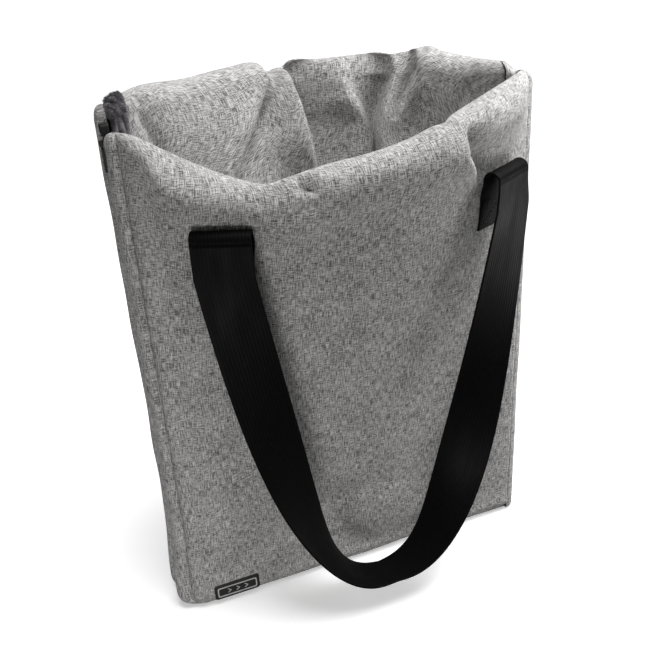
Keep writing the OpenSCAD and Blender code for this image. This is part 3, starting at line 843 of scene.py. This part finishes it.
PLUSH_NEAR = 1.2 * MM                   # the pile comes no nearer to the zip's plane
PLUSH_END = 14 * MM                     # height of its lower end
PLUSH_T, PLUSH_LUMP = 3.4 * MM, 0.55 * MM       # depth of the pile's base and of its lumps
FIBRE_HALF_W = 0.16 * MM


def plush_base(share, row):
    """Place on the plush margin; share runs across it and row runs from over the lip down the inside."""
    # Below the lip the pile starts further in, clear of the slider
    start = LEFT_SEAM + 1.5 * MM + 1.9 * MM * smoothstep(row, -0.15, 0.05)
    x = start + (PLUSH_X + 2 * MM - start) * share
    over = row < 0
    angle = np.where(over, math.pi + row * 1.35, math.pi)
    top = roll_base(x, False)
    z = top + (PLUSH_END - top) * np.clip(row, 0, 1)
    on_lip = lip_point(x, angle, False)
    below = inner_point(x, z, False)
    point = np.where(over[..., None], on_lip, below)
    _, out, up = wall_frame(x, z)
    away = np.where(over[..., None], out * np.cos(angle)[..., None] + up * np.sin(angle)[..., None], -out)
    lumps = np.sin(row * 61 + share * 9) + np.sin(row * 97 - share * 14) + np.sin(share * 17)
    thick = PLUSH_T * np.clip(4 * share * (1 - share), 0, 1) ** 0.4 + PLUSH_LUMP * lumps
    return point + away * thick[..., None], away


def plush_margin():
    """Lumpy base of the pile, showing between the zip and the lining."""
    rows = np.concatenate([np.linspace(-1, 0, 14)[:-1], np.linspace(0, 1, 120)])
    share, row = np.meshgrid(np.linspace(0, 1, 14), rows, indexing="ij")
    grid, _ = plush_base(share, row)
    grid[..., 1] = np.maximum(grid[..., 1], PLUSH_NEAR)
    plush = grid_object("plush_margin", grid, surface_uv(grid), PLUSH)
    solidify(plush, 1.5 * MM, offset=1)
    dress(plush, "back_wall", ("plush_mat",))


def plush_fibres():
    """Thin bent blades on the plush, closest together at the top."""
    rng = np.random.default_rng(7)
    count = 9000
    share = rng.uniform(0.0, 1.0, count)
    row = -1 + 1.9 * rng.uniform(0, 1, count) ** 1.6
    root, away = plush_base(share, row)
    root[:, 1] = np.maximum(root[:, 1], PLUSH_NEAR)
    length = rng.uniform(2.2, 4.6, count)[:, None] * MM
    tip_dir = unit(away + rng.normal(0, 0.6, (count, 3)))
    side = unit(np.cross(tip_dir, rng.normal(0, 1, (count, 3)))) * FIBRE_HALF_W
    droop = np.array([0, 0, -0.35])
    middle = root + tip_dir * length * 0.55
    tip = middle + (tip_dir + droop) * length * 0.45
    root = root - away * 0.5 * MM
    verts = np.stack([root - side, root + side, middle + side * 0.8, middle - side * 0.8, tip], 1)
    start = np.arange(count)[:, None] * 5
    faces = (start + [0, 1, 2, 3]).tolist() + (start + [3, 2, 4]).tolist()
    mesh = mesh_from("plush_fibres", verts.reshape(-1, 3), faces, smooth=False)
    dress(make_object("plush_fibres", mesh, PLUSH), "back_wall")


plush_margin()
plush_fibres()


# ---------- handles ----------

STRAP_W = 50 * MM
STRAP_T = 1.6 * MM
SEWN_LEN = 50 * MM
FOLD_R = 7.5 * MM
LEG_OFF = 2.9 * MM                      # from the wall's plain face to the middle of the webbing at the fold
LEG_LEN = 74 * MM                       # webbing in a leg; the loop's weave goes on from there
LOOP_X, LOOP_Y, LOOP_Z = 3 * MM, 88 * MM, 30 * MM
LOOP_POWER, LEG_STRAIGHT = 2.65, 1.03
LOOP_STEP = 0.004                       # share of the loop over which its direction is measured
SEWN_CLEAR = 0.5 * MM                   # gap between the webbing and the cloth it is sewn to
LOOP_TWIST = math.radians(107)
TWIST_AT, TWIST_WIDTH = 0.59, 0.2


def wall_turn(side):
    """Angle of the front wall where a leg is sewn, against the zip's plane."""
    return math.atan(float(bow_slopes(*LEG_SEATS[side], MM)[0]))


def leg_root(side):
    """Middle of the webbing where it leaves the wall, and the wall's outward direction there."""
    x, z = LEG_SEATS[side]
    turn = wall_turn(side)
    root = np.array([x, -(OUTER_Y + float(bow(x, z)) + LEG_OFF), z + 0.3 * MM])
    return root, np.array([-math.sin(turn), -math.cos(turn), 0.0])


def fold_end(side):
    """Where the webbing has folded over and hangs free."""
    root, out = leg_root(side)
    return root + 2 * FOLD_R * out


def across_leg(side):
    """Direction across a leg towards its outer edge."""
    _, out = leg_root(side)
    return np.array([side * abs(out[1]), abs(out[0]), 0.0])


def twist_share(s):
    """How much of its twist the webbing has at share s of the way from the loop's bottom to a leg."""
    low = 1 / (1 + math.exp(-TWIST_AT / TWIST_WIDTH))
    high = 1 / (1 + math.exp((1 - TWIST_AT) / TWIST_WIDTH))
    return (1 / (1 + np.exp((s - TWIST_AT) / TWIST_WIDTH)) - high) / (low - high)


def loop_place(s):
    """Middle line of the hanging loop, s from -1 at the left leg to 1 at the right leg."""
    top = np.where((s < 0)[:, None], fold_end(-1), fold_end(1))
    share = np.abs(s)
    return np.stack([LOOP_X + np.minimum(1, LEG_STRAIGHT * share) * (top[:, 0] - LOOP_X),
                     -LOOP_Y + (top[:, 1] + LOOP_Y) * share ** 1.5,
                     LOOP_Z + (top[:, 2] - LOOP_Z) * share ** LOOP_POWER], 1)


def loop_outer(s, along):
    """Direction across the webbing towards its outer edge."""
    share = np.abs(s)
    lean = np.where(s < 0, abs(wall_turn(-1)), abs(wall_turn(1)))
    reached = twist_share(share)
    turn = LOOP_TWIST * reached - lean * share ** 2 * (1 - reached)
    flat = unit(np.cross([0, 1, 0], along))
    mixed = flat * np.cos(turn)[:, None] + np.array([0, -1, 0]) * np.sin(turn)[:, None]
    return unit(mixed - along * np.sum(mixed * along, 1)[:, None])


def ribbon(name, front, middles, outers, faces, start_length=0.0, bend=None):
    """Flat webbing along a line of middles; outers point across it and faces out of it.
    It is made for the front wall and mirrored for the back wall."""
    across = np.linspace(-1, 1, 26) * (STRAP_W / 2 - STRAP_T / 2)
    edge = np.radians(np.linspace(90, -90, 7))[1:-1]
    ring = [(c, STRAP_T / 2) for c in across]
    ring += [(STRAP_W / 2 - STRAP_T / 2 * (1 - math.cos(a)), STRAP_T / 2 * math.sin(a)) for a in edge]
    ring += [(c, -STRAP_T / 2) for c in across[::-1]]
    ring += [(-STRAP_W / 2 + STRAP_T / 2 * (1 - math.cos(a)), -STRAP_T / 2 * math.sin(a)) for a in edge]
    ring.append(ring[0])
    ring = np.array(ring)
    # The selvedges are woven a little thicker than the field
    thicker = 1 + 0.22 * smoothstep(np.abs(ring[:, 0]), STRAP_W / 2 - 3.5 * MM, STRAP_W / 2 - 1.5 * MM)
    lift = ring[:, 1] * thicker
    grid = middles[:, None] + outers[:, None] * ring[None, :, :1] + faces[:, None] * lift[None, :, None]
    if bend is not None:
        grid = bend(grid, ring)
    grid = mirrored(grid, not front)
    along = start_length + path_lengths(middles)
    uv = np.stack(np.broadcast_arrays(path_lengths(ring)[None, :], along[:, None]), 2)
    rows, cols = grid.shape[:2]
    faces_list = grid_faces(rows, cols).tolist()
    half = len(across)
    for base, order in ((0, 1), ((rows - 1) * cols, -1)):
        for k in range(half - 1):
            opposite = half + len(edge) + (half - 1 - k)
            quad = [base + k, base + k + 1, base + opposite - 1, base + opposite]
            faces_list.append(quad[::order])
    return make_object(name, mesh_from(name, grid.reshape(-1, 3), faces_list, uv.reshape(-1, 2)), WEBBING)


def leg_path(side, front):
    """Webbing sewn up the wall and folded over, ending where the hanging loop begins."""
    root, out = leg_root(side)
    sewn = np.linspace(-SEWN_LEN, 0, 34)
    rows = len(sewn)
    climb = np.array([root + [0, 0, s] for s in sewn])
    angles = np.radians(np.linspace(0, 180, 30))[1:]
    fold = np.array([root + FOLD_R * (1 - math.cos(a)) * out + [0, 0, FOLD_R * math.sin(a)] for a in angles])
    middles = np.concatenate([climb, fold])
    travel = np.concatenate([np.tile([0, 0, 1.0], (rows, 1)),
                             [out * math.sin(a) + np.array([0, 0, math.cos(a)]) for a in angles]])
    outers = np.tile(across_leg(side), (len(middles), 1))
    faces = np.cross(travel, outers) * -side

    def lie_on_wall(grid, ring):
        """Presses the sewn rows onto the wall's cloth and lets them leave it towards the fold."""
        x, straight, z = grid[:rows, :, 0], grid[:rows, :, 1], grid[:rows, :, 2]
        lying = -(face_y(x, z, front) + SEWN_CLEAR + STRAP_T / 2) - ring[None, :, 1]
        share = smoothstep(sewn, -22 * MM, -1 * MM)[:, None]
        grid[:rows, :, 1] = lying + (straight - lying) * share
        return grid

    return middles, outers, faces, lie_on_wall


def stitches(name, threads):
    """Short raised threads; each has its place, the direction out of the cloth and its own direction."""
    verts, faces = [], []
    sides, segments, length = 6, 4, 3.2 * MM
    for point, normal, along in threads:
        across = np.cross(normal, along)
        start = len(verts)
        for i in range(segments + 1):
            t = i / segments * 2 - 1
            middle = point + along * t * length / 2 + normal * 0.28 * MM * (1 - t * t)
            radius = 0.3 * MM * math.sqrt(max(0.06, 1 - 0.85 * t * t))
            for k in range(sides):
                a = 2 * math.pi * k / sides
                verts.append(middle + radius * (across * math.cos(a) + normal * math.sin(a)))
        for i in range(segments):
            for k in range(sides):
                a, b = start + i * sides + k, start + i * sides + (k + 1) % sides
                faces.append((a, b, b + sides, a + sides))
        faces.append(tuple(start + k for k in range(sides))[::-1])
        faces.append(tuple(start + segments * sides + k for k in range(sides)))
    return make_object(name, mesh_from(name, verts, faces), THREAD)


def box_stitch_places():
    """Places (across, up) and directions of a sewn box with a cross, in metres from the webbing's root."""
    half, low, high, pitch = 20 * MM, -46 * MM, -12 * MM, 4.4 * MM
    corners = [(-half, low), (half, low), (half, high), (-half, high), (-half, low), (half, high)]
    lines = list(zip(corners[:-1], corners[1:])) + [((-half, high), (half, low))]
    places = []
    for (x0, z0), (x1, z1) in lines:
        length = math.hypot(x1 - x0, z1 - z0)
        count = int(length / pitch)
        dx, dz = x1 - x0, z1 - z0
        places += [(x0 + dx * t, z0 + dz * t, dx / length, dz / length)
                   for t in (np.arange(count) + 0.5) / count]
    return places


def handle_loop(front):
    """The free loop of a handle, hanging in front of the wall."""
    s = np.sin(np.radians(np.linspace(-90, 90, 261))) * 0.5 + np.linspace(-1, 1, 261) * 0.5
    along = unit(loop_place(np.minimum(1, s + LOOP_STEP)) - loop_place(np.maximum(-1, s - LOOP_STEP)))
    outers = loop_outer(s, along)
    # Ends keep exactly the direction of the folds they continue
    for side in SIDES:
        weight = smoothstep(1 - np.abs(s - side), 0.975, 1.0)[:, None]
        outers = unit(outers * (1 - weight) + across_leg(side) * weight)
        along = unit(along * (1 - weight) + np.array([0, 0, side]) * weight)
    faces = unit(np.cross(along, outers))
    loop = ribbon(f"{WALLS[front]}_strap_loop", front, loop_place(s), outers, faces, LEG_LEN)
    dress(loop, f"{WALLS[front]}_handle", (f"{WALLS[front]}_handle",))


def handle_leg(side, front):
    """One end of the webbing, sewn to the wall and folded over up to where the hanging loop begins."""
    word = WALLS[front]
    path, across, faces, lie = leg_path(side, front)
    leg = ribbon(f"{word}_strap_leg_{SIDES[side]}", front, path, across, faces, 0.0, lie)
    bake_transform(leg)
    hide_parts(f"{word}_anchor_{SIDES[side]}")


def handle_stitches(side, front):
    """A sewn box with a cross on one end of the webbing."""
    root, out = leg_root(side)
    threads = []
    for across, up, step_x, step_z in box_stitch_places():
        x = root[0] + abs(out[1]) * across
        z = root[2] + up
        y = -(float(face_y(np.array([x]), np.array([z]), front)[0]) + SEWN_CLEAR + STRAP_T)
        slope, rise = (-float(v) for v in bow_slopes(x, z, MM))
        normal = unit(np.array([slope, -1.0, rise]))
        direction = unit(np.array([step_x, slope * step_x + rise * step_z, step_z]))
        threads.append([mirrored(v, not front) for v in (np.array([x, y, z]), normal, direction)])
    thread = stitches(f"{WALLS[front]}_stitches_{SIDES[side]}", threads)
    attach(thread, f"{WALLS[front]}_wall")


for is_front in WALLS:
    handle_loop(is_front)
    for leg_side in SIDES:
        handle_leg(leg_side, is_front)
        handle_stitches(leg_side, is_front)


# ---------- zip ----------

ZIP_CORNER_R = 18 * MM
COIL_INSET, TAPE_INSET = 1.65 * MM, 3.3 * MM    # how far in from the bag's side they run
TAPE_NEAR, TAPE_W, TAPE_T = 0.7 * MM, 7.6 * MM, 0.7 * MM


def zip_line(inset, step):
    """Evenly spaced points and outward directions of the zip's line, from its top to its end at the spine."""
    radius = ZIP_CORNER_R - inset
    corner_x, corner_z = -HALF_W + ZIP_CORNER_R, ZIP_CORNER_R
    coil_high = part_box("zip_coil_front")[1]
    parts = [coil_high.z - corner_z, radius * math.pi / 2, coil_high.x - corner_x]
    s = np.arange(0, sum(parts), step)
    x = np.full_like(s, -HALF_W + inset)
    z = coil_high.z - s
    mx, mz = np.full_like(s, -1.0), np.zeros_like(s)
    arc = (s > parts[0]) & (s <= parts[0] + parts[1])
    a = math.pi + (s[arc] - parts[0]) / radius
    x[arc], z[arc] = corner_x + radius * np.cos(a), corner_z + radius * np.sin(a)
    mx[arc], mz[arc] = np.cos(a), np.sin(a)
    base = s > parts[0] + parts[1]
    x[base], z[base] = corner_x + s[base] - parts[0] - parts[1], inset
    mx[base], mz[base] = 0, -1
    return s, x, z, mx, mz


def zip_coil(front):
    """One row of coil as a real helix of nylon wire."""
    pitch, steps, sides, wire = 1.6 * MM, 10, 5, 0.36 * MM
    s, x, z, mx, mz = zip_line(COIL_INSET, pitch / steps)
    phase = 2 * math.pi * s / pitch + (0 if front else math.pi)
    depth, width = 0.85 * MM, 1.05 * MM
    hub = np.stack([x, np.full_like(x, -(1.25 * MM + wire)), z], 1)
    lift = depth * np.sin(phase)
    radial = np.stack([mx * lift, width * np.cos(phase), mz * lift], 1)
    middle = hub + radial
    along = unit(np.gradient(middle, axis=0))
    radial = unit(radial - along * np.sum(radial * along, 1)[:, None])
    side = np.cross(along, radial)
    angles = 2 * math.pi * np.arange(sides) / sides
    grid = middle[:, None] + wire * (radial[:, None] * np.cos(angles)[None, :, None]
                                     + side[:, None] * np.sin(angles)[None, :, None])
    grid = mirrored(grid, not front)
    faces = grid_faces(len(s), sides, wrap=True)
    mesh = mesh_from("zip_coil_mesh", grid.reshape(-1, 3), faces if front else faces[:, ::-1])
    word = WALLS[front]
    dress(make_object(f"{word}_coil", mesh, COIL), f"{word}_wall", (f"zip_coil_{word}",))


def zip_tape(front):
    """Woven tape from beside the coil to under the band."""
    s, x, z, mx, mz = zip_line(TAPE_INSET, 2.0 * MM)
    across = np.linspace(0, 1, 8)
    y = -(TAPE_NEAR + TAPE_W * across)
    sink = 1.2 * MM * smoothstep(across, 0.45, 1.0)
    grid = np.stack([x[:, None] - mx[:, None] * sink, np.broadcast_to(y, (len(s), len(y))),
                     z[:, None] - mz[:, None] * sink], 2)
    grid = mirrored(grid, not front)
    uv = np.stack(np.broadcast_arrays(-y[None, :], s[:, None]), 2)
    word = WALLS[front]
    tape = grid_object(f"{word}_tape", grid, uv, TAPE, flip=front)
    solidify(tape, TAPE_T, offset=1)
    dress(tape, f"{word}_wall", (f"zip_tape_{word}",))


def rounded_block(name, low, high, round_by, material):
    """Box with rounded edges between two corners given in the row frame."""
    mesh = bpy.data.meshes.new(name)
    work = bmesh.new()
    bmesh.ops.create_cube(work, size=1)
    for v in work.verts:
        v.co = Vector([(low[k] + high[k]) / 2 + v.co[k] * (high[k] - low[k]) for k in range(3)])
    bmesh.ops.bevel(work, geom=work.edges[:], offset=round_by, segments=4, profile=0.5, affect="EDGES")
    work.to_mesh(mesh)
    work.free()
    mesh.polygons.foreach_set("use_smooth", np.full(len(mesh.polygons), True))
    return make_object(name, mesh, material)


def zip_end(front):
    """Folded end of a tape, a soft lump of tape cloth."""
    word = WALLS[front]
    low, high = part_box(f"zip_end_{word}")
    low = low - Vector((3.4 * MM, 0, 0))
    high = high + Vector((0, 0, 3 * MM))
    block = rounded_block(f"{word}_tape_end", low, high, 0.9 * MM, TAPE)
    layer = block.data.uv_layers.new(name="cloth")
    for loop in block.data.loops:
        co = block.data.vertices[loop.vertex_index].co
        layer.data[loop.index].uv = (co.y + co.x, co.z)
    dress(block, f"{word}_wall", (f"zip_end_{word}",))


def paint(node, material):
    """Gives a piece that stays as it is in the frame its material."""
    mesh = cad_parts[node].data
    mesh.materials.clear()
    mesh.materials.append(material)


for is_front in WALLS:
    zip_coil(is_front)
    zip_tape(is_front)
    zip_end(is_front)

paint("zip_slider", SLIDER)
paint("zip_pull", SLIDER)
paint("zip_bottom_stop", COIL)


# ---------- badge ----------

def plate_outline(w, h, r, steps=8):
    """Rectangle with round corners."""
    points = []
    for quarter in range(4):
        cx = (w / 2 - r) * (1 if quarter in (0, 3) else -1)
        cz = (h / 2 - r) * (1 if quarter < 2 else -1)
        for i in range(steps + 1):
            a = math.radians(90 * quarter + 90 * i / steps)
            points.append((cx + r * math.cos(a), cz + r * math.sin(a)))
    return np.array(points)


def stacked_plate(name, centre, layers, material):
    """Plate built from outlines at rising depth, each (w, h, r, depth); depth grows towards -Y."""
    rings = []
    for w, h, r, depth in layers:
        flat = plate_outline(w, h, r)
        rings.append(np.stack([flat[:, 0], np.full(len(flat), -depth), flat[:, 1]], 1) + centre)
    cols = len(rings[0])
    faces = grid_faces(len(rings), cols, wrap=True).tolist()
    faces.append(list(range(cols)))
    faces.append(list(range((len(rings) - 1) * cols, len(rings) * cols))[::-1])
    mesh = mesh_from(name, np.concatenate(rings) - [0, ZIP_Y, 0], faces, smooth=False)
    return make_object(name, mesh, material)


def build_badge():
    """Soft-edged rubber plate; the raised lines on it come from the frame."""
    low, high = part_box("badge")
    centre = (low + high) / 2
    w, t, h = high - low
    sunk = 0.4 * MM                     # the plate's back lies this far in the cloth
    r = 3 * MM
    layers = [(w, h, r, 0), (w, h, r, t * 0.75 + sunk),
              (w - 0.4 * MM, h - 0.4 * MM, r, t * 0.93 + sunk),
              (w - 1.0 * MM, h - 1.0 * MM, r - 0.3 * MM, t + sunk)]
    plate = stacked_plate("badge_plate", (centre.x, high.y + sunk, centre.z), layers, RUBBER)
    dress(plate, "front_wall", ("badge",))
    paint("badge_inlay", RELIEF)


build_badge()


# ---------- camera, light and floor ----------

# Solved from the bag's corners in the photo; place about the zip's plane, lens in millimetres, degrees
CAMERA_PLACE = Vector((-0.2663, -0.7023, 0.6760))
CAMERA_LENS = 48.4
CAMERA_DOWN, CAMERA_RIGHT, CAMERA_ROLL = 28.05, 19.63, -3.87
SUN_FROM = Vector((0.10, -0.20, 0.95))
# Area lights: place, what they look at, size and power
LIGHTS = {
    "overhead": ((0.36, -0.02, 0.92), (-0.02, 0.08, 0.45), 0.18, 2.3),
    "left_key": ((-0.12, -0.02, 0.66), (0.15, 0.07, 0.46), 0.12, 0.24),
    "rear": ((0.35, 1.3, 0.9), (0, 0.05, 0.3), 0.8, 5.0),
    "left_card": ((-0.42, -0.62, 0.04), (-0.12, -0.03, 0.10), 0.32, 3.0),
    "right_key": ((0.36, -0.10, 0.62), (-0.14, 0.06, 0.46), 0.16, 0.55),
    "right_card": ((0.58, -0.16, 0.20), (0.19, 0.0, 0.20), 0.30, 1.5)}


def make_camera():
    data = bpy.data.cameras.new("camera")
    data.lens = CAMERA_LENS
    data.sensor_width = 36
    camera = add_to_scene("camera", data)
    turn = (Matrix.Rotation(math.radians(-CAMERA_RIGHT), 4, "Z")
            @ Matrix.Rotation(math.radians(90 - CAMERA_DOWN), 4, "X")
            @ Matrix.Rotation(math.radians(CAMERA_ROLL), 4, "Z"))
    camera.matrix_world = Matrix.Translation(CAMERA_PLACE + Vector((0, ZIP_Y, 0))) @ turn
    bpy.context.scene.camera = camera


def area_light(name, place, target, size, power):
    data = bpy.data.lights.new(name, "AREA")
    data.size = size
    data.energy = power
    light = add_to_scene(name, data)
    light.location = place
    light.rotation_euler = (Vector(target) - Vector(place)).to_track_quat("-Z", "Y").to_euler()


def make_floor():
    corners = [(-6, -6, 0), (6, -6, 0), (6, 6, 0), (-6, 6, 0)]
    mesh = mesh_from("floor", corners, [(0, 1, 2, 3)], smooth=False)
    s = Shader("pale_floor")
    s.set(Base_Color=(0.96, 0.96, 0.96, 1), Roughness=0.9, Specular_IOR_Level=0.1,
          Emission_Color=(1, 1, 1, 1), Emission_Strength=0.35)
    floor = make_object("floor", mesh, s.material)
    floor.visible_diffuse = False       # the floor shows its light but does not throw it back at the bag
    floor.visible_glossy = False


def make_lights():
    sun = bpy.data.lights.new("key", "SUN")
    sun.energy = 2.1
    sun.angle = math.radians(26)
    add_to_scene("key", sun).rotation_euler = SUN_FROM.to_track_quat("Z", "Y").to_euler()
    for name, settings in LIGHTS.items():
        area_light(name, *settings)
    world = bpy.data.worlds.new("studio")
    world.use_nodes = True
    background = world.node_tree.nodes["Background"]
    background.inputs["Color"].default_value = (1, 1, 1, 1)
    background.inputs["Strength"].default_value = 0.15
    bpy.context.scene.world = world
    bpy.context.scene.view_settings.view_transform = "Standard"


make_camera()
make_floor()
make_lights()
